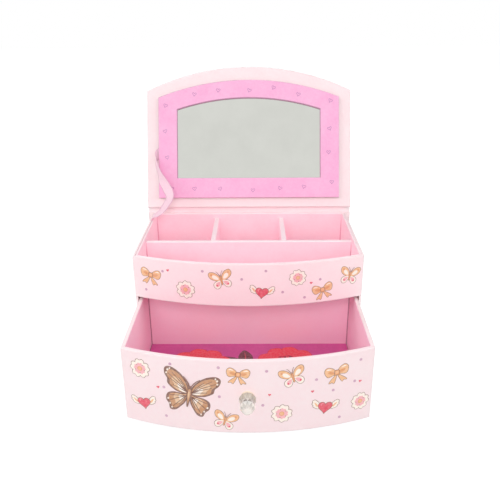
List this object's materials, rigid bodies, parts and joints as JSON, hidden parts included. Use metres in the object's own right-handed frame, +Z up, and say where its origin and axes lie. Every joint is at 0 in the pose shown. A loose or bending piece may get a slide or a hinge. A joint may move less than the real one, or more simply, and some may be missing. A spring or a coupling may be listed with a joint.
{
  "type": "jewellery box",
  "caption": "Bow-front jewellery box of paper-covered board, with a compartment tray, a pull-out drawer and a mirror lid that folds back on a ribbon stay.",
  "frame": {"origin": "on the underside of the base board, on the middle line, midway between the back face and the case's front corners", "axes": "+Z up, the front and its drawer face -Y, +X to the right of someone facing the front"},
  "size_m": [0.1784, 0.245, 0.2146],
  "materials": {
    "printed_board": "coated pale pink printed paper over grey board",
    "lining_board": "plain pink paper over board",
    "grey_board": "bare grey board",
    "frame_card": "satin pink paper with small hearts",
    "printed_lining": "printed magenta card",
    "mirror": "silvered sheet",
    "hinge_cloth": "paper-faced book cloth",
    "satin_ribbon": "satin",
    "clear_acrylic": "clear faceted acrylic",
    "plated_brass": "pale plated",
    "steel": "zinc plated"
  },
  "bodies": {
    "case": {"base_board": "printed_board", "left_wall": "printed_board", "right_wall": "printed_board", "back_wall": "printed_board", "back_board": "printed_board", "tray_front": "printed_board", "shelf_board": "lining_board", "liner_left": "lining_board", "liner_right": "lining_board", "liner_back": "lining_board", "liner_front": "lining_board", "long_divider": "lining_board", "left_divider": "lining_board", "right_divider": "lining_board", "tray_floor_paper": "lining_board", "hinge_cloth": "hinge_cloth", "stay_ribbon": "satin_ribbon"},
    "lid": {"lid_board": "printed_board", "mirror": "mirror", "mirror_spacer": "grey_board", "mirror_frame": "frame_card"},
    "drawer": {"drawer_front": "printed_board", "drawer_left_side": "lining_board", "drawer_right_side": "lining_board", "drawer_back": "lining_board", "drawer_bottom": "lining_board", "drawer_lining": "printed_lining", "knob_gem": "clear_acrylic", "knob_collar": "plated_brass", "knob_screw": "steel", "knob_washer": "steel"}
  },
  "joints": [
    {"name": "lid_hinge", "type": "hinge", "parent": "case", "child": "lid", "pos_m": [0, 0.05, 0.0988], "axis": [1, 0, 0], "range_deg": [0, 111], "deforming": ["hinge_cloth", "stay_ribbon"]},
    {"name": "drawer_slide", "type": "slide", "parent": "case", "child": "drawer", "axis": [0, 1, 0], "range_m": [-0.009, 0.069]}
  ]
}
